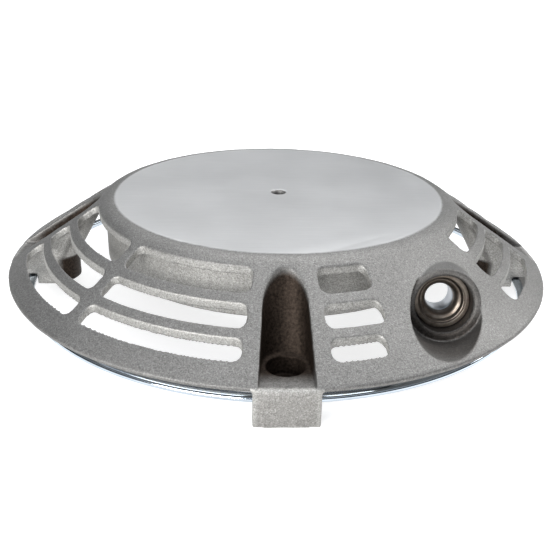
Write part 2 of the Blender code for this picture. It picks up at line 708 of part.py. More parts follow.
def centre_fastener(mat):
    smooth(turned("centre_washer", [(13.2, 10.3), (13.5, 10.0), (13.5, 8.6), (3.2, 8.6), (3.2, 10.3)], mat, 48))
    hexagon = [polar(5.6, 60.0 * i + 30.0) for i in range(6)]
    head = plate("centre_screw", [hexagon], 4.7, 8.3, mat)
    forms = cutter_collection("screw_forms")
    shank = turned("shank", [(0.0, 33.0), (1.9, 33.0), (2.3, 32.6), (2.3, 6.0), (0.0, 6.0)], None, 24, forms)
    boolean(head, "UNION", shank)
    dome = turned("head_chamfer", [(0.0, 60.0), (9.0, 60.0), (9.0, 8.0), (4.2, 3.2), (0.0, 3.2)], None, 48, forms)
    boolean(head, "INTERSECT", dome)
    smooth(baked(head))


# ---------------------------------------------------------------- assembly

def build():
    clear_scene()
    cast = material("cast_aluminium", (0.42, 0.42, 0.41), 1.0, 0.45)
    zinc = material("zinc_plated_steel", (0.62, 0.68, 0.74), 1.0, 0.22)
    bush = material("hardened_steel", (0.36, 0.34, 0.32), 1.0, 0.3)
    steel = material("steel", (0.55, 0.55, 0.56), 1.0, 0.3)
    spring = material("spring_steel", (0.28, 0.30, 0.33), 1.0, 0.35)
    nylon = material("pulley_nylon", (0.06, 0.06, 0.065), 0.0, 0.5)
    bronze = material("bearing_bronze", (0.62, 0.42, 0.20), 1.0, 0.35)

    housing(cast)
    baffle_ring(zinc)
    rope_bush(bush)
    bush_ring(bush)

    recoil_spring(spring)
    spring_anchor_pin(steel)
    spring_cover(zinc)
    cover_screws(zinc)

    axis = bpy.data.objects.new("pulley_axis", None)
    bpy.context.scene.collection.objects.link(axis)
    rope_pulley(nylon, axis)
    pulley_bearing(bronze, axis)
    pawls(steel, axis)
    pawl_pins(steel, axis)
    pawl_springs(spring, axis)
    guide_plate(zinc, axis)
    brake_pieces(spring, steel, axis)
    centre_fastener(steel)


build()
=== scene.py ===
"""Looks of the recoil starter: a fine cast housing, turned rings and procedural metals.

Lengths of the housing are in millimetres, as on a drawing, and MM scales them. Places of the other
pieces come from the frame.
"""
import json
import math

import bmesh
import bpy
import numpy as np
from mathutils import Matrix, Vector, noise

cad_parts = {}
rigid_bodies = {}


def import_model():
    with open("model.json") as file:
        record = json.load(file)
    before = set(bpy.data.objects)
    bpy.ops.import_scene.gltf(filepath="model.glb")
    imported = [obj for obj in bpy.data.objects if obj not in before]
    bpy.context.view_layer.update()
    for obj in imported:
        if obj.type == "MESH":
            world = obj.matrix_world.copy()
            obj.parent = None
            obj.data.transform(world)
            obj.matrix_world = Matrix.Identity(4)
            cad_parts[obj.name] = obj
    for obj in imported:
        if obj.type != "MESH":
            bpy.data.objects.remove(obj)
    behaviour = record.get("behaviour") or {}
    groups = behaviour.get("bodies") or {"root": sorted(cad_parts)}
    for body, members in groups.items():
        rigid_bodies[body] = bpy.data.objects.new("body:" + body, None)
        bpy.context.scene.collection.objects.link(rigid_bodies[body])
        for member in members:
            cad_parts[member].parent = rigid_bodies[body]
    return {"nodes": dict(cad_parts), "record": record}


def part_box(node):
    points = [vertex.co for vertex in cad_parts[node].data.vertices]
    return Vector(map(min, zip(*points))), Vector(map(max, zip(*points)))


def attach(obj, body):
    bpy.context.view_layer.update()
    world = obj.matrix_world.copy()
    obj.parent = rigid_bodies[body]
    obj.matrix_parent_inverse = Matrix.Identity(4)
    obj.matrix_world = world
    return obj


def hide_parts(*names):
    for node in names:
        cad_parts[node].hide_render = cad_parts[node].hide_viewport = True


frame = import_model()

MM = 0.001

# Camera: place, viewing direction and upright, in metres
CAMERA_AT = Vector((-0.013574, -0.355144, 0.162033))
CAMERA_LOOK = Vector((0.03915, 0.90982, -0.41315))
CAMERA_UP = Vector((-0.00729, 0.41371, 0.91038))
CAMERA_LENS = 51.74

# Housing
FACE_Z = 45.5
FACE_R = 74.1
SHOULDER_R = 77.4
CONE_EDGE_R = 121.6
CONE_EDGE_Z = 16.0
RIM_R = 122.5
PARTING_Z = 15.2
LIP_Z = 13.5
WALL = 3.2
CEILING_Z = 40.5
CHAMBER_R = 75.0
CHAMBER_WALL_R = 78.5
CHAMBER_Z = 20.0               # lower edge of the chamber's wall
POST_R = 8.0
POST_Z = 10.6
TAP_R = 2.7
TAP_MOUTH_R = 3.5
CONE_SLOPE = (FACE_Z - CONE_EDGE_Z) / (CONE_EDGE_R - SHOULDER_R)
TURN_STEPS = 288
ENVELOPE_DROP = 1.2            # from the cone down to the top of the feet's blocks and pocket's wall

# Slots: (inner, outer) radius of each row, and where each row ends beside the nose
SLOT_ROWS = ((81.6, 90.8), (94.8, 102.9), (106.7, 114.0))
SLOT_CORNER_R = 2.9
LEG_CLEAR_DEG = 8.2            # from a foot's centre line to the next slot
RIB_HALF_DEG = 1.6
NOSE_SLOT_DEG = ((-68.6, -68.8, -70.9), (-33.3, -33.3, -33.6))

# Feet: a trough is given by the (radius of its centre, half width) at its bottom and top
LEG_AZIMUTHS = (-90.0, 0.0, 90.0, 180.0)
BOLT_R = 105.6
BOLT_HOLE_R = 4.5
SPOT_R = 7.1
SPOT_Z = 7.3
FLOOR_Z = 15.1
FOOT_Z = 3.3
TROUGH_BOTTOM = (105.6, 8.9)
TROUGH_TOP = (87.5, 8.0)
TROUGH_FLARE = 0.07
LEG_WALL = 3.2
TAB_HALF_WIDTH = 12.05
TAB_R = 122.9
TAB_INNER_R = 117.0
TAB_TOP_Z = 14.9
NOTCH_R = (111.9, 118.4)       # room for the ring in the feet
NOTCH_Z = 8.2

# Nose, pocket and rope bush. Depths are measured from the mouth along the nose's axis
NOSE_MOUTH = Vector((62.25, -78.0, 26.1))
NOSE_AZIMUTH = -93.9
NOSE_RISE = 11.4
NOSE_R = 14.4
NOSE_LENGTH = 25.0
NOSE_CAVITY_R = 11.2
NOSE_CAVITY_DEPTH = 10.2
BUSH_SEAT_R = 8.3
POCKET_R = 14.8
POCKET_WALL = 2.9
POCKET_START = -2.5
NOSE_STEPS = 96

SEAT_GAP = 0.3                 # between bush and seat
BUSH_SEAT = -NOSE_CAVITY_DEPTH + SEAT_GAP
BUSH_FLANGE_R = 9.9
BUSH_FLANGE = 1.6
BUSH_BORE_R = 5.4
BUSH_BORE_END = -14.6
FUNNEL_R = 8.2
FUNNEL_NARROWING = 2.5
FUNNEL_DEPTH = 3.6
POLISHED_R = 5.6
RETAINER_R = (9.3, NOSE_CAVITY_R - 0.15)
RETAINER_RISE = (1.9, 3.1)     # above the bush's seat
BUSH_STEPS = 128
BUSH_EDGE_R = 0.3
SHARP_DEG = 50.0

COVER_TOP_Z = 32.5
LUG_R = 71.0
LUG_AZIMUTHS = (30.0, 150.0, 270.0)
LUG_BOSS_R = 4.5
LUG_HOLE_R = 2.0
ANCHOR_R = 65.0
ANCHOR_HOLE_R = 2.2
ROPE_WINDOW_Y = (-54.0, -32.0)  # way of the rope through the chamber's wall
ROPE_WINDOW_Z = (17.0, 29.5)

RING_WIDTH = 3.7

VOXEL = 0.42                   # grain of the cast surface's mesh
ROUNDING_PASSES = 9
KEPT_SHARE = 0.25              # of the fine mesh's triangles, most of them at the edges
WAVES = ((0.11, 0.10), (0.34, 0.05))    # (frequency, height) of the skin's waviness
WAVE_MEAN = 0.06

# Studio, in metres and watts: name, place, target, size and power of each light
LIGHTS = (("overhead", (0.15, 0.35, 1.1), (0, 0, 0), (1.4, 1.0), 12.0),
          ("front_left", (-0.7, -1.1, 0.42), (0, 0, 0.02), (0.8, 0.4), 19.0),
          ("right", (1.1, 0.3, 0.7), (0, 0, 0.02), (0.6, 0.6), 7.0))
SKY_STRENGTH = 0.72
FLOOR_HALF = 6.0               # in metres
FLOOR_GLOW = 0.78


# ---------------------------------------------------------------- mesh helpers

def add_object(name, mesh, collection=None):
    obj = bpy.data.objects.new(name, mesh)
    (collection or bpy.context.scene.collection).objects.link(obj)
    return obj


def evaluated_mesh(obj):
    depsgraph = bpy.context.evaluated_depsgraph_get()
    return bpy.data.meshes.new_from_object(obj.evaluated_get(depsgraph))


def baked(obj):
    """Replace the object's mesh by the result of its modifiers."""
    mesh = evaluated_mesh(obj)
    obj.modifiers.clear()
    obj.data = mesh
    weld(mesh)
    return obj


def weld(mesh):
    bm = bmesh.new()
    bm.from_mesh(mesh)
    bmesh.ops.remove_doubles(bm, verts=bm.verts, dist=1e-7)
    bmesh.ops.recalc_face_normals(bm, faces=bm.faces)
    bm.to_mesh(mesh)
    bm.free()


def turned(name, profile, steps, collection=None):
    """A solid turned about its local Z from a closed loop of (radius, height) points."""
    mesh = bpy.data.meshes.new(name)
    edges = [(i, i + 1) for i in range(len(profile) - 1)]
    if profile[0][0] > 0.0:
        edges.append((len(profile) - 1, 0))
    mesh.from_pydata([(r * MM, 0.0, z * MM) for r, z in profile], edges, [])
    obj = add_object(name, mesh, collection)
    screw = obj.modifiers.new("turn", "SCREW")
    screw.axis = "Z"
    screw.steps = steps
    screw.render_steps = steps
    screw.use_merge_vertices = True
    screw.merge_threshold = 1e-6
    return baked(obj)


def plate(name, outline, z_low, z_high, collection=None):
    """A flat piece of one outline, standing between two heights."""
    bm = bmesh.new()
    low = [bm.verts.new((x * MM, y * MM, z_low * MM)) for x, y in outline]
    high = [bm.verts.new((x * MM, y * MM, z_high * MM)) for x, y in outline]
    count = len(outline)
    for i in range(count):
        j = (i + 1) % count
        bm.faces.new((low[i], low[j], high[j], high[i]))
    bm.faces.new(list(reversed(low)))
    bm.faces.new(high)
    bmesh.ops.recalc_face_normals(bm, faces=bm.faces)
    mesh = bpy.data.meshes.new(name)
    bm.to_mesh(mesh)
    bm.free()
    return add_object(name, mesh, collection)


def loft(name, loops, collection=None):
    """A closed solid through a stack of loops that have the same number of points."""
    bm = bmesh.new()
    rings = [[bm.verts.new(Vector(p) * MM) for p in loop] for loop in loops]
    count = len(rings[0])
    for low, high in zip(rings, rings[1:]):
        for i in range(count):
            j = (i + 1) % count
            bm.faces.new((low[i], low[j], high[j], high[i]))
    bm.faces.new(list(reversed(rings[0])))
    bm.faces.new(rings[-1])
    bmesh.ops.recalc_face_normals(bm, faces=bm.faces)
    mesh = bpy.data.meshes.new(name)
    bm.to_mesh(mesh)
    bm.free()
    return add_object(name, mesh, collection)


def gather(name):
    collection = bpy.data.collections.new(name)
    bpy.context.scene.collection.children.link(collection)
    return collection


def combine(obj, operation, operand):
    """Apply an exact Boolean with an object or with all objects of a collection, and drop them."""
    modifier = obj.modifiers.new(operation.lower(), "BOOLEAN")
    modifier.operation = operation
    modifier.solver = "EXACT"
    if isinstance(operand, bpy.types.Collection):
        modifier.operand_type = "COLLECTION"
        modifier.collection = operand
        used = list(operand.objects)
    else:
        modifier.object = operand
        used = [operand]
    baked(obj)
    for tool in used:
        bpy.data.objects.remove(tool, do_unlink=True)


def arc(centre, radius, start_deg, end_deg, count):
    span = math.radians(end_deg - start_deg)
    start = math.radians(start_deg)
    return [(centre[0] + radius * math.cos(start + span * i / count),
             centre[1] + radius * math.sin(start + span * i / count)) for i in range(count + 1)]


def circle(radius, centre=(0.0, 0.0), count=48):
    return arc(centre, radius, 0.0, 360.0, count)[:-1]


def polar(radius, azimuth_deg):
    angle = math.radians(azimuth_deg)
    return (radius * math.cos(angle), radius * math.sin(angle))


def sector(r_in, r_out, start_deg, end_deg, corner_r):
    """Outline of a ring sector with rounded corners."""
    r_mid = (r_in + r_out) / 2.0
    width = math.radians(end_deg - start_deg) * r_mid
    sides = max(2, round(width / 2.0))
    flat = arc((width - corner_r, r_in + corner_r), corner_r, -90.0, 0.0, 6)
    flat += arc((width - corner_r, r_out - corner_r), corner_r, 0.0, 90.0, 6)
    run = width - 2.0 * corner_r
    flat += [(width - corner_r - run * i / sides, r_out) for i in range(1, sides)]
    flat += arc((corner_r, r_out - corner_r), corner_r, 90.0, 180.0, 6)
    flat += arc((corner_r, r_in + corner_r), corner_r, 180.0, 270.0, 6)
    flat += [(corner_r + run * i / sides, r_in) for i in range(1, sides)]
    start = math.radians(start_deg)
    return [(r * math.cos(start + s / r_mid), r * math.sin(start + s / r_mid)) for s, r in flat]


def trough_loop(centre_r, half_width, z, outer_r, azimuth_deg, flare=TROUGH_FLARE):
    """A U-shaped loop that opens outwards along the given azimuth."""
    shape = arc((centre_r, 0.0), half_width, 90.0, 270.0, 28)
    end = half_width + flare * (outer_r - centre_r)
    shape += [(outer_r, -end), (outer_r, end)]
    angle = math.radians(azimuth_deg)
    return [(x * math.cos(angle) - y * math.sin(angle), x * math.sin(angle) + y * math.cos(angle), z)
            for x, y in shape]


def nose_direction():
    rise = math.radians(NOSE_RISE)
    x, y = polar(math.cos(rise), NOSE_AZIMUTH)
    return Vector((x, y, math.sin(rise)))


def nose_matrix():
    """Frame of the nose: origin in the mouth, +Z out of it."""
    turn = nose_direction().to_track_quat("Z", "Y").to_matrix().to_4x4()
    return Matrix.Translation(NOSE_MOUTH * MM) @ turn


def on_nose(obj):
    obj.data.transform(nose_matrix())
    return obj


def cylinder_profile(radius, low, high):
    return [(0.0, high), (radius, high), (radius, low), (0.0, low)]


# ---------------------------------------------------------------- housing

def cone_z(radius):
    return FACE_Z - CONE_SLOPE * (radius - SHOULDER_R)


def shell_profile():
    """Section of the turned shell, with the parting line of the die round its rim."""
    slope = math.atan(CONE_SLOPE)
    down = WALL / math.cos(slope)
    shoulder = SHOULDER_R - FACE_R
    end_r = SHOULDER_R + shoulder * math.cos(slope)
    end_z = FACE_Z - shoulder * math.sin(slope)
    profile = [(TAP_MOUTH_R, FACE_Z)]
    for i in range(9):
        t = i / 8.0
        r = (1 - t) ** 2 * FACE_R + 2 * t * (1 - t) * SHOULDER_R + t * t * end_r
        z = (1 - t) ** 2 * FACE_Z + 2 * t * (1 - t) * FACE_Z + t * t * end_z
        profile.append((r, z))
    inner_r = SHOULDER_R + (FACE_Z - down - LIP_Z) / CONE_SLOPE
    profile += [(CONE_EDGE_R, CONE_EDGE_Z), (RIM_R, PARTING_Z), (RIM_R - 0.6, LIP_Z),
                (inner_r, LIP_Z), (CHAMBER_WALL_R, cone_z(CHAMBER_WALL_R) - down),
                (CHAMBER_WALL_R, CHAMBER_Z + 0.6), (CHAMBER_WALL_R - 0.6, CHAMBER_Z),
                (CHAMBER_R + 0.6, CHAMBER_Z), (CHAMBER_R, CHAMBER_Z + 0.6),
                (CHAMBER_R, CEILING_Z - 1.5), (CHAMBER_R - 1.5, CEILING_Z),
                (POST_R + 1.5, CEILING_Z), (POST_R, CEILING_Z - 1.5),
                (POST_R, POST_Z + 0.5), (POST_R - 0.5, POST_Z), (TAP_R, POST_Z),
                (TAP_R, FACE_Z - (TAP_MOUTH_R - TAP_R))]
    return profile


def slot_groups():
    """Row, start and end angle of each slot. The front right quarter leaves room for the nose."""
    for row in range(len(SLOT_ROWS)):
        for quarter in (0.0, 90.0, 180.0):
            middle = quarter + 45.0
            yield row, quarter + LEG_CLEAR_DEG, middle - RIB_HALF_DEG
            yield row, middle + RIB_HALF_DEG, quarter + 90.0 - LEG_CLEAR_DEG
        yield row, -90.0 + LEG_CLEAR_DEG, NOSE_SLOT_DEG[0][row]
        yield row, NOSE_SLOT_DEG[1][row], -LEG_CLEAR_DEG


def make_envelope():
    """Room under the outer skin. The feet's blocks and the pocket's wall are kept inside it."""
    low = FACE_Z - ENVELOPE_DROP
    edge = RIM_R - 0.4
    profile = [(0.0, low), (SHOULDER_R, low), (edge, cone_z(edge) - ENVELOPE_DROP), (edge, -5.0),
               (0.0, -5.0)]
    return turned("envelope", profile, TURN_STEPS)


def add_legs(adds):
    """The feet: a block round each trough and bolt, and the tab outside the rim."""
    for number, azimuth in enumerate(LEG_AZIMUTHS):
        bottom_r = TROUGH_BOTTOM[0]
        top_r, top_w = TROUGH_TOP
        outer = RIM_R + 4.0
        block = loft(f"leg_block_{number}", [
            trough_loop(bottom_r, TAB_HALF_WIDTH, FOOT_Z, outer, azimuth, 0.0),
            trough_loop(bottom_r, TAB_HALF_WIDTH, FLOOR_Z, outer, azimuth, 0.0),
            trough_loop(top_r, top_w + LEG_WALL, FACE_Z, outer, azimuth, 0.0)], adds)
        combine(block, "INTERSECT", make_envelope())
        half = math.degrees(math.asin(TAB_HALF_WIDTH / TAB_R))
        inner = math.degrees(math.asin(TAB_HALF_WIDTH / TAB_INNER_R))
        outline = arc((0.0, 0.0), TAB_R, azimuth - half, azimuth + half, 24)
        outline += arc((0.0, 0.0), TAB_INNER_R, azimuth + inner, azimuth - inner, 24)
        plate(f"leg_tab_{number}", outline, 0.0, TAB_TOP_Z, adds)


def add_lugs(adds):
    """Bosses in the chamber's ceiling for the screws of the spring cover."""
    for number, azimuth in enumerate(LUG_AZIMUTHS):
        outline = circle(LUG_BOSS_R, polar(LUG_R, azimuth), 36)
        plate(f"lug_{number}", outline, COVER_TOP_Z + 0.3, CEILING_Z + 1.0, adds)


def cut_outside(cuts):
    """Slots, troughs of the feet and the pocket round the nose."""
    for number, (row, start, end) in enumerate(slot_groups()):
        r_in, r_out = SLOT_ROWS[row]
        outline = sector(r_in, r_out, start, end, SLOT_CORNER_R)
        plate(f"slot_{number}", outline, 9.0, FACE_Z + 5.0, cuts)
    outer = RIM_R + 12.0
    for number, azimuth in enumerate(LEG_AZIMUTHS):
        loft(f"trough_{number}", [trough_loop(*TROUGH_BOTTOM, FLOOR_Z, outer, azimuth),
                                  trough_loop(*TROUGH_TOP, FACE_Z, outer, azimuth),
                                  trough_loop(*TROUGH_TOP, FACE_Z + 12.0, outer, azimuth)], cuts)
    on_nose(turned("pocket", cylinder_profile(POCKET_R, POCKET_START, 52.0), NOSE_STEPS, cuts))


def nose_profile():
    return [(0.0, 0.0), (NOSE_R - 0.5, 0.0), (NOSE_R, -0.5), (NOSE_R, -NOSE_LENGTH), (0.0, -NOSE_LENGTH)]


def nose_bore_profile():
    """Cavity with a chamfered mouth, and behind it the seat of the bush."""
    chamfer = 0.9
    mouth_r = NOSE_CAVITY_R + chamfer
    floor = -NOSE_CAVITY_DEPTH
    back = -NOSE_LENGTH - 6.0
    return [(0.0, 3.0), (mouth_r, 3.0), (mouth_r, 0.0), (NOSE_CAVITY_R, -chamfer), (NOSE_CAVITY_R, floor),
            (BUSH_SEAT_R, floor), (BUSH_SEAT_R, back), (0.0, back)]


def cut_bores(bores):
    """Holes and seats: nose, foot bolts, ring notches, cover screws, spring anchor and rope way."""
    on_nose(turned("nose_bore", nose_bore_profile(), NOSE_STEPS, bores))
    above = FLOOR_Z + 6.0
    bolt = [(0.0, above), (SPOT_R, above), (SPOT_R, SPOT_Z), (BOLT_HOLE_R, SPOT_Z), (BOLT_HOLE_R, -2.0),
            (0.0, -2.0)]
    for number, azimuth in enumerate(LEG_AZIMUTHS):
        spot = turned(f"bolt_{number}", bolt, 64, bores)
        x, y = polar(BOLT_R, azimuth)
        spot.data.transform(Matrix.Translation((x * MM, y * MM, 0.0)))
    inner, outer = NOTCH_R
    notch = [(outer, NOTCH_Z), (outer, -3.0), (inner, -3.0), (inner, NOTCH_Z)]
    turned("ring_notch", notch, TURN_STEPS, bores)
    for number, azimuth in enumerate(LUG_AZIMUTHS):
        hole = circle(LUG_HOLE_R, polar(LUG_R, azimuth), 24)
        plate(f"lug_hole_{number}", hole, COVER_TOP_Z - 1.0, 38.5, bores)
    anchor = circle(ANCHOR_HOLE_R, polar(ANCHOR_R, 90.0), 24)
    plate("anchor_hole", anchor, CEILING_Z - 1.0, 43.0, bores)
    left, right = NOSE_MOUTH.x - 6.0, NOSE_MOUTH.x + 8.0
    near, far = ROPE_WINDOW_Y
    window = [(left, far), (left, near), (right, near), (right, far)]
    plate("rope_window", window, *ROPE_WINDOW_Z, bores)


def make_casting():
    """The housing with sharp edges."""
    body = turned("casting", shell_profile(), TURN_STEPS)
    adds = gather("adds")
    add_legs(adds)
    add_lugs(adds)
    pocket_skin = cylinder_profile(POCKET_R + POCKET_WALL, -6.0, 32.0)
    skin = on_nose(turned("pocket_skin", pocket_skin, NOSE_STEPS, adds))
    combine(skin, "INTERSECT", make_envelope())
    combine(body, "UNION", adds)

    cuts = gather("cuts")
    cut_outside(cuts)
    combine(body, "DIFFERENCE", cuts)

    combine(body, "UNION", on_nose(turned("nose", nose_profile(), NOSE_STEPS)))

    bores = gather("bores")
    cut_bores(bores)
    combine(body, "DIFFERENCE", bores)
    return body


def vertex_array(mesh, field):
    """Positions or normals of all vertices, one row for each vertex."""
    values = np.empty(len(mesh.vertices) * 3)
    mesh.vertices.foreach_get(field, values)
    return values.reshape(-1, 3)


def rising(values, start, width):
    """0 up to the start, then up to 1 over the width."""
    return np.clip((values - start) / width, 0.0, 1.0)


def falling(values, end, width):
    """1, then down to 0 over the width before the end."""
    return np.clip((end - values) / width, 0.0, 1.0)


def machined_mark(co, normal, radius):
    """The flat of the top face."""
    mark = rising(co[:, 2], FACE_Z - 0.35, 0.2)
    mark *= falling(radius, FACE_R + 0.6, 0.8)
    mark *= rising(normal[:, 2], 0.9, 0.05)
    return mark


def trough_painted_shade(co, normal, radius):
    """Painted shade in the troughs of the feet, weaker towards the rim."""
    below = FACE_Z - CONE_SLOPE * (radius - SHOULDER_R) - co[:, 2]
    painted_shade = np.zeros(len(co))
    for azimuth in LEG_AZIMUTHS:
        angle = math.radians(azimuth)
        along = co[:, 0] * math.cos(angle) + co[:, 1] * math.sin(angle)
        across = np.abs(-co[:, 0] * math.sin(angle) + co[:, 1] * math.cos(angle))
        inside = falling(across, 11.2, 1.2) * rising(along, 78.5, 2.0)
        inside *= rising(below, 0.3, 1.6) * rising(normal[:, 2], -0.35, 0.3)
        inside *= np.maximum(falling(along, RIM_R - 2.5, 9.0), 0.25)
        painted_shade = np.maximum(painted_shade, inside)
    return painted_shade


def nose_painted_shade(co):
    """Painted shade in the nose's cavity, on its lip and in the lower part of the pocket."""
    local = np.array(nose_matrix().inverted())
    place = ((co * MM) @ local[:3, :3].T + local[:3, 3]) / MM
    depth = place[:, 2]
    off_axis = np.hypot(place[:, 0], place[:, 1])
    off_level = (co[:, 2] - NOSE_MOUTH.z) - depth * math.sin(math.radians(NOSE_RISE))
    lower = falling(off_level, -1.0, 6.0)
    cavity = falling(off_axis, NOSE_CAVITY_R + 0.9, 0.5) * falling(depth, -0.4, 0.8)
    lip = falling(off_axis, NOSE_R + 0.4, 0.4) * falling(np.abs(depth), 1.0, 0.5)
    scoop = falling(off_axis, POCKET_R + 0.8, 0.8) * rising(depth, 0.0, 1.5)
    scoop *= lower * falling(depth, 30.0, 14.0)
    return np.maximum(0.78 * cavity, np.maximum(lip * (0.38 + 0.4 * lower), 0.62 * scoop))


def painted_light_mark(co, normal, radius, painted_shade):
    """Painted light on upright walls and on the tabs of the feet, making them brighter than the cone."""
    mark = falling(np.abs(normal[:, 2]), 0.55, 0.2) * falling(radius, 117.0, 2.0)
    mark *= falling(co[:, 2], 42.5, 1.0) * (1.0 - np.clip(painted_shade * 3.0, 0.0, 1.0))
    tab = rising(radius, 120.6, 0.8) * falling(co[:, 2], TAB_TOP_Z + 0.6, 0.6)
    tab *= np.min([np.abs(co[:, axis]) for axis in (0, 1)], axis=0) < TAB_HALF_WIDTH + 0.6
    return np.maximum(mark, 1.6 * tab)


def surface_marks(mesh):
    """Where the casting is machined, where painted shade darkens it, and where painted light brightens
    it.
    """
    co = vertex_array(mesh, "co") / MM
    normal = vertex_array(mesh, "normal")
    radius = np.hypot(co[:, 0], co[:, 1])
    # painted shade: the troughs of the feet and the nose's cavity, lip and pocket are darkened in colour
    # where shade falls
    painted_shade = np.maximum(trough_painted_shade(co, normal, radius), nose_painted_shade(co))
    marks = {"machined": machined_mark(co, normal, radius), "painted_shade": painted_shade,
             "painted_light": painted_light_mark(co, normal, radius, painted_shade)}
    for name, values in marks.items():
        layer = mesh.attributes.new(name, "FLOAT", "POINT")
        layer.data.foreach_set("value", values.astype(np.float32))


def roughen(mesh):
    """Slow waviness of a die-cast skin. The machined face keeps flat."""
    co = vertex_array(mesh, "co") / MM
    normal = vertex_array(mesh, "normal")
    cast = (co[:, 2] < FACE_Z - 0.6) | (np.hypot(co[:, 0], co[:, 1]) > FACE_R)
    waves = np.array([sum(noise.noise(Vector(p) * often) * high for often, high in WAVES) for p in co])
    co += normal * ((waves - WAVE_MEAN) * cast)[:, None]
    mesh.vertices.foreach_set("co", (co * MM).astype(np.float32).ravel())
    mesh.update()


def make_housing():
    """The casting with rounded edges, a wavy skin and marks for its material."""
    body = make_casting()
    body.name = "housing_casting"
    remesh = body.modifiers.new("skin", "REMESH")
    remesh.mode = "VOXEL"
    remesh.voxel_size = VOXEL * MM
    smooth = body.modifiers.new("rounding", "SMOOTH")
    smooth.factor = 0.5
    smooth.iterations = ROUNDING_PASSES
    mesh = evaluated_mesh(body)
    body.modifiers.clear()
    body.data = mesh
    roughen(mesh)
    thin = body.modifiers.new("thinning", "DECIMATE")
    thin.ratio = KEPT_SHARE
    mesh = evaluated_mesh(body)
    body.modifiers.clear()
    body.data = mesh
    mesh.shade_smooth()
    surface_marks(mesh)
    return body


# ---------------------------------------------------------------- rings

def rounded_loop(points, radius, count=4):
    """A closed outline with each corner replaced by a small curve."""
    result = []
    size = len(points)
    for i, corner in enumerate(points):
        corner = Vector(corner)
        before = Vector(points[i - 1]) - corner
        after = Vector(points[(i + 1) % size]) - corner
        reach = min(radius, before.length * 0.45, after.length * 0.45)
        start = corner + before.normalized() * reach
        end = corner + after.normalized() * reach
        for k in range(count + 1):
            t = k / count
            point = start * (1 - t) ** 2 + corner * (2 * t * (1 - t)) + end * (t * t)
            result.append((point.x, point.y))
    return result


def make_ring():
    """Flat ring with a full-round outer edge."""
    low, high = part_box("baffle_ring")
    outer = high[0] / MM
    bottom, top = low[2] / MM, high[2] / MM
    inner = outer - RING_WIDTH
    half = (top - bottom) / 2.0
    profile = [(inner + 0.3, top)]
    for degrees in range(90, -91, -12):
        angle = math.radians(degrees)
        profile.append((outer - half + half * math.cos(angle), bottom + half + half * math.sin(angle)))
    profile += [(inner + 0.3, bottom), (inner, bottom + 0.3), (inner, top - 0.3)]
    ring = turned("baffle_ring_bright", profile, TURN_STEPS)
    ring.data.shade_smooth()
    return ring


def turned_in_nose(name, loop, corner_steps):
    """A lathe-turned piece on the nose's axis, with its edges broken."""
    piece = on_nose(turned(name, rounded_loop(loop, BUSH_EDGE_R, corner_steps), BUSH_STEPS))
    piece.data.shade_smooth()
    piece.data.set_sharp_from_angle(angle=math.radians(SHARP_DEG))
    return piece


def make_bush():
    """Stepped guide: dark flange, bright throat and a turned bore."""
    body_r = BUSH_SEAT_R - SEAT_GAP
    flange_top = BUSH_SEAT + BUSH_FLANGE
    funnel = []
    for degrees in range(90, -1, -15):
        angle = math.radians(degrees)
        funnel.append((FUNNEL_R - FUNNEL_NARROWING * math.sin(angle),
                       BUSH_SEAT - FUNNEL_DEPTH * (1.0 - math.cos(angle))))
    loop = [(BUSH_FLANGE_R, flange_top), (BUSH_FLANGE_R, BUSH_SEAT), (body_r, BUSH_SEAT),
            (body_r, -NOSE_LENGTH), (BUSH_BORE_R, -NOSE_LENGTH), (BUSH_BORE_R, BUSH_BORE_END)]
    loop += funnel + [(8.5, BUSH_SEAT + 0.5), (8.9, flange_top)]
    return turned_in_nose("rope_bush_turned", loop, 3)


def make_bush_ring():
    """Ring that keeps the bush in its seat."""
    inner, outer = RETAINER_R
    low, high = (BUSH_SEAT + rise for rise in RETAINER_RISE)
    loop = [(outer, high), (outer, low), (inner, low), (inner, high)]
    return turned_in_nose("bush_ring_turned", loop, 4)


# ---------------------------------------------------------------- materials

def new_material(name):
    mat = bpy.data.materials.new(name)
    mat.use_nodes = True
    tree = mat.node_tree
    return mat, tree, tree.nodes["Principled BSDF"]


def node(tree, kind, **settings):
    made = tree.nodes.new(kind)
    for key, value in settings.items():
        setattr(made, key, value)
    return made


def noise_node(tree, scale, detail=4.0, roughness=0.55):
    texture = node(tree, "ShaderNodeTexNoise")
    texture.inputs["Scale"].default_value = scale
    texture.inputs["Detail"].default_value = detail
    texture.inputs["Roughness"].default_value = roughness
    coordinates = node(tree, "ShaderNodeTexCoord")
    tree.links.new(coordinates.outputs["Object"], texture.inputs["Vector"])
    return texture


def ramp_node(tree, source, stops):
    ramp = node(tree, "ShaderNodeValToRGB")
    elements = ramp.color_ramp.elements
    while len(elements) < len(stops):
        elements.new(0.5)
    for element, (position, color) in zip(elements, stops):
        element.position = position
        element.color = (*color, 1.0) if isinstance(color, tuple) else (color, color, color, 1.0)
    tree.links.new(source, ramp.inputs["Fac"])
    return ramp.outputs["Color"]


def mix_colors(tree, factor, first, second, mode="MIX"):
    mix = node(tree, "ShaderNodeMix", data_type="RGBA", blend_type=mode)
    for socket, value in ((mix.inputs[0], factor), (mix.inputs[6], first), (mix.inputs[7], second)):
        if isinstance(value, bpy.types.NodeSocket):
            tree.links.new(value, socket)
        elif isinstance(value, tuple):
            socket.default_value = (*value, 1.0)
        else:
            socket.default_value = value
    return mix.outputs[2]


def math_node(tree, operation, first, second=None):
    made = node(tree, "ShaderNodeMath", operation=operation)
    for socket, value in zip(made.inputs, (first, second)):
        if isinstance(value, bpy.types.NodeSocket):
            tree.links.new(value, socket)
        elif value is not None:
            socket.default_value = value
    return made.outputs[0]


def bump(tree, shader, height, strength, distance):
    made = node(tree, "ShaderNodeBump")
    made.inputs["Strength"].default_value = strength
    made.inputs["Distance"].default_value = distance
    tree.links.new(height, made.inputs["Height"])
    tree.links.new(made.outputs["Normal"], shader.inputs["Normal"])


def attribute(tree, name):
    return node(tree, "ShaderNodeAttribute", attribute_name=name).outputs["Fac"]


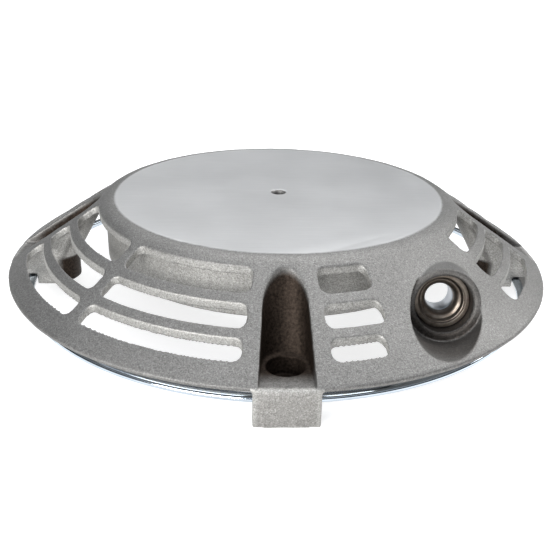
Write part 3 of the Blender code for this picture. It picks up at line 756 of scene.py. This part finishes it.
def cast_material():
    """Speckled die-cast skin, brownish painted shade in the hollows, painted light on upright walls and
    tabs, and a brighter machined face.
    """
    mat, tree, shader = new_material("cast_aluminium_skin")
    link = tree.links.new
    machined = attribute(tree, "machined")
    painted_shade = attribute(tree, "painted_shade")

    speckle = noise_node(tree, 2100.0, 3.0, 0.7).outputs["Fac"]
    grain = noise_node(tree, 950.0, 4.0, 0.65).outputs["Fac"]
    cloud = noise_node(tree, 38.0, 5.0, 0.6).outputs["Fac"]
    base = ramp_node(tree, speckle, [(0.30, (0.130, 0.126, 0.119)), (0.52, (0.225, 0.221, 0.213)),
                                     (0.72, (0.35, 0.345, 0.336))])
    tone = ramp_node(tree, cloud, [(0.3, 0.90), (0.7, 1.06)])
    skin = mix_colors(tree, 1.0, base, tone, "MULTIPLY")
    mottled = ramp_node(tree, grain, [(0.35, 0.82), (0.65, 1.12)])
    skin = mix_colors(tree, 1.0, skin, mottled, "MULTIPLY")
    # painted light: upright walls and the tabs of the feet are made brighter in colour
    painted_lit_skin = mix_colors(tree, 1.0, skin, (1.85, 1.85, 1.83), "MULTIPLY")
    skin = mix_colors(tree, attribute(tree, "painted_light"), skin, painted_lit_skin)
    # painted shade colour, a dark brownish grey, mixed in where the painted-shade mask is high
    painted_shade_brown = ramp_node(tree, grain, [(0.35, (0.014, 0.009, 0.006)), (0.7, (0.056, 0.041, 0.031))])
    skin = mix_colors(tree, painted_shade, skin, painted_shade_brown)

    mapping = node(tree, "ShaderNodeMapping")
    mapping.inputs["Scale"].default_value = (0.06, 1.0, 1.0)
    coordinates = node(tree, "ShaderNodeTexCoord")
    link(coordinates.outputs["Object"], mapping.inputs["Vector"])
    scratch = node(tree, "ShaderNodeTexNoise")
    scratch.inputs["Scale"].default_value = 900.0
    scratch.inputs["Detail"].default_value = 4.0
    link(mapping.outputs["Vector"], scratch.inputs["Vector"])
    smear = noise_node(tree, 26.0, 6.0, 0.62).outputs["Fac"]
    face = ramp_node(tree, scratch.outputs["Fac"], [(0.3, (0.655, 0.653, 0.648)),
                                                    (0.7, (0.685, 0.683, 0.678))])
    smeared = ramp_node(tree, smear, [(0.30, 0.95), (0.6, 1.0)])
    face = mix_colors(tree, 1.0, face, smeared, "MULTIPLY")
    color = mix_colors(tree, machined, skin, face)
    link(color, shader.inputs["Base Color"])

    rough_skin = math_node(tree, "MULTIPLY_ADD", grain, 0.22)
    rough_skin.node.inputs[2].default_value = 0.46
    rough_face = math_node(tree, "MULTIPLY_ADD", smear, 0.07)
    rough_face.node.inputs[2].default_value = 0.38
    rough = node(tree, "ShaderNodeMix", data_type="FLOAT")
    link(machined, rough.inputs[0])
    link(rough_skin, rough.inputs[2])
    link(rough_face, rough.inputs[3])
    link(rough.outputs[0], shader.inputs["Roughness"])
    shader.inputs["Metallic"].default_value = 0.85

    coarse = math_node(tree, "MULTIPLY", grain, 0.7)
    fine = math_node(tree, "MULTIPLY", speckle, 0.35)
    height_skin = math_node(tree, "ADD", coarse, fine)
    height_face = math_node(tree, "MULTIPLY", scratch.outputs["Fac"], 0.016)
    height = node(tree, "ShaderNodeMix", data_type="FLOAT")
    link(machined, height.inputs[0])
    link(height_skin, height.inputs[2])
    link(height_face, height.inputs[3])
    bump(tree, shader, height.outputs[0], 0.55, 0.00035)
    return mat


def metal_material(name, dark, light, roughness, scale, grain=0.25):
    """A metal whose tone and gloss vary a little over its surface."""
    mat, tree, shader = new_material(name)
    fine = noise_node(tree, scale, 4.0, 0.6).outputs["Fac"]
    broad = noise_node(tree, scale / 9.0, 4.0, 0.55).outputs["Fac"]
    color = ramp_node(tree, fine, [(0.3, dark), (0.7, light)])
    worn = ramp_node(tree, broad, [(0.3, 0.88), (0.7, 1.05)])
    color = mix_colors(tree, 1.0, color, worn, "MULTIPLY")
    tree.links.new(color, shader.inputs["Base Color"])
    rough = math_node(tree, "MULTIPLY_ADD", broad, 0.16)
    rough.node.inputs[2].default_value = roughness
    tree.links.new(rough, shader.inputs["Roughness"])
    shader.inputs["Metallic"].default_value = 1.0
    bump(tree, shader, fine, grain, 0.00004)
    return mat


def plastic_material(name, dark, light):
    mat, tree, shader = new_material(name)
    fine = noise_node(tree, 900.0, 3.0, 0.5).outputs["Fac"]
    color = ramp_node(tree, fine, [(0.3, dark), (0.7, light)])
    tree.links.new(color, shader.inputs["Base Color"])
    rough = math_node(tree, "MULTIPLY_ADD", fine, 0.18)
    rough.node.inputs[2].default_value = 0.38
    tree.links.new(rough, shader.inputs["Roughness"])
    bump(tree, shader, fine, 0.3, 0.00006)
    return mat


def dress(obj, mat):
    obj.data.materials.clear()
    obj.data.materials.append(mat)


def polish_bore(bush, mat):
    """The bore that the rope has rubbed bright gets its own finish."""
    bush.data.materials.append(mat)
    inverse = nose_matrix().inverted()
    for face in bush.data.polygons:
        place = (inverse @ face.center) / MM
        if math.hypot(place.x, place.y) < POLISHED_R:
            face.material_index = 1


# ---------------------------------------------------------------- studio

def make_floor():
    mesh = bpy.data.meshes.new("studio_floor")
    corners = [(x * FLOOR_HALF, y * FLOOR_HALF, 0) for x, y in ((-1, -1), (1, -1), (1, 1), (-1, 1))]
    mesh.from_pydata(corners, [], [(0, 1, 2, 3)])
    floor = add_object("studio_floor", mesh)
    mat, _, shader = new_material("pale_floor")
    shader.inputs["Base Color"].default_value = (0.5, 0.5, 0.5, 1.0)
    shader.inputs["Roughness"].default_value = 0.9
    shader.inputs["Specular IOR Level"].default_value = 0.0
    shader.inputs["Emission Color"].default_value = (1.0, 1.0, 1.0, 1.0)
    shader.inputs["Emission Strength"].default_value = FLOOR_GLOW
    dress(floor, mat)


def area_light(name, place, target, size, power):
    data = bpy.data.lights.new(name, "AREA")
    data.shape = "RECTANGLE"
    data.size, data.size_y = size
    data.energy = power
    light = bpy.data.objects.new(name, data)
    bpy.context.scene.collection.objects.link(light)
    light.location = place
    light.rotation_euler = (Vector(target) - Vector(place)).to_track_quat("-Z", "Y").to_euler()


def make_studio():
    scene = bpy.context.scene
    scene.view_settings.view_transform = "Standard"
    world = bpy.data.worlds.new("studio")
    scene.world = world
    world.use_nodes = True
    tree = world.node_tree
    background = tree.nodes["Background"]
    coordinates = node(tree, "ShaderNodeTexCoord")
    split = node(tree, "ShaderNodeSeparateXYZ")
    tree.links.new(coordinates.outputs["Generated"], split.inputs["Vector"])
    sky = ramp_node(tree, split.outputs["Z"], [(0.0, (0.015, 0.02, 0.025)), (0.42, (0.03, 0.035, 0.04)),
                                               (0.62, (0.88, 0.93, 1.0))])
    tree.links.new(sky, background.inputs["Color"])
    background.inputs["Strength"].default_value = SKY_STRENGTH
    for light in LIGHTS:
        area_light(*light)


def make_camera():
    data = bpy.data.cameras.new("camera")
    data.sensor_width = 36.0
    data.lens = CAMERA_LENS
    data.clip_start = 0.01
    data.clip_end = 50.0
    camera = bpy.data.objects.new("camera", data)
    bpy.context.scene.collection.objects.link(camera)
    back = -CAMERA_LOOK.normalized()
    right = CAMERA_UP.cross(back).normalized()
    up = back.cross(right)
    turn = Matrix((right, up, back)).transposed().to_4x4()
    camera.matrix_world = Matrix.Translation(CAMERA_AT) @ turn
    bpy.context.scene.camera = camera


# ---------------------------------------------------------------- assembly

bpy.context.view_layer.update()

make_camera()
make_studio()
make_floor()

cast = cast_material()
zinc = metal_material("zinc_bright", (0.56, 0.63, 0.70), (0.66, 0.73, 0.80), 0.03, 120.0, 0.04)
plated = metal_material("zinc_satin", (0.46, 0.50, 0.55), (0.64, 0.68, 0.72), 0.24, 220.0)
bush_steel = metal_material("bush_steel_turned", (0.13, 0.105, 0.085), (0.27, 0.235, 0.20), 0.30, 300.0)
steel = metal_material("steel_satin", (0.36, 0.36, 0.37), (0.56, 0.56, 0.57), 0.28, 300.0)
spring_steel = metal_material("spring_steel_oiled", (0.10, 0.11, 0.13), (0.22, 0.24, 0.28), 0.28, 200.0)
bronze = metal_material("bearing_bronze_sintered", (0.36, 0.22, 0.10), (0.56, 0.38, 0.18), 0.34, 700.0)
nylon = plastic_material("pulley_nylon_moulded", (0.018, 0.018, 0.020), (0.034, 0.034, 0.037))

housing = make_housing()
dress(housing, cast)
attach(housing, "housing_body")
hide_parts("housing")

ring = make_ring()
dress(ring, zinc)
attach(ring, "housing_body")
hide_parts("baffle_ring")

bush = make_bush()
bush_ring = make_bush_ring()
dress(bush, bush_steel)
dress(bush_ring, bush_steel)
polish_bore(bush, plated)
for piece, replaced in ((bush, "rope_bush"), (bush_ring, "bush_ring")):
    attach(piece, "housing_body")
    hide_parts(replaced)

FINISHES = {"cast_aluminium": cast, "zinc_plate": plated, "steel": steel, "spring_steel": spring_steel,
            "bush_steel": bush_steel, "nylon": nylon, "bronze": bronze}
for entry in frame["record"]["subparts"]:
    dress(frame["nodes"][entry["node"]], FINISHES[entry["material_slot"]])
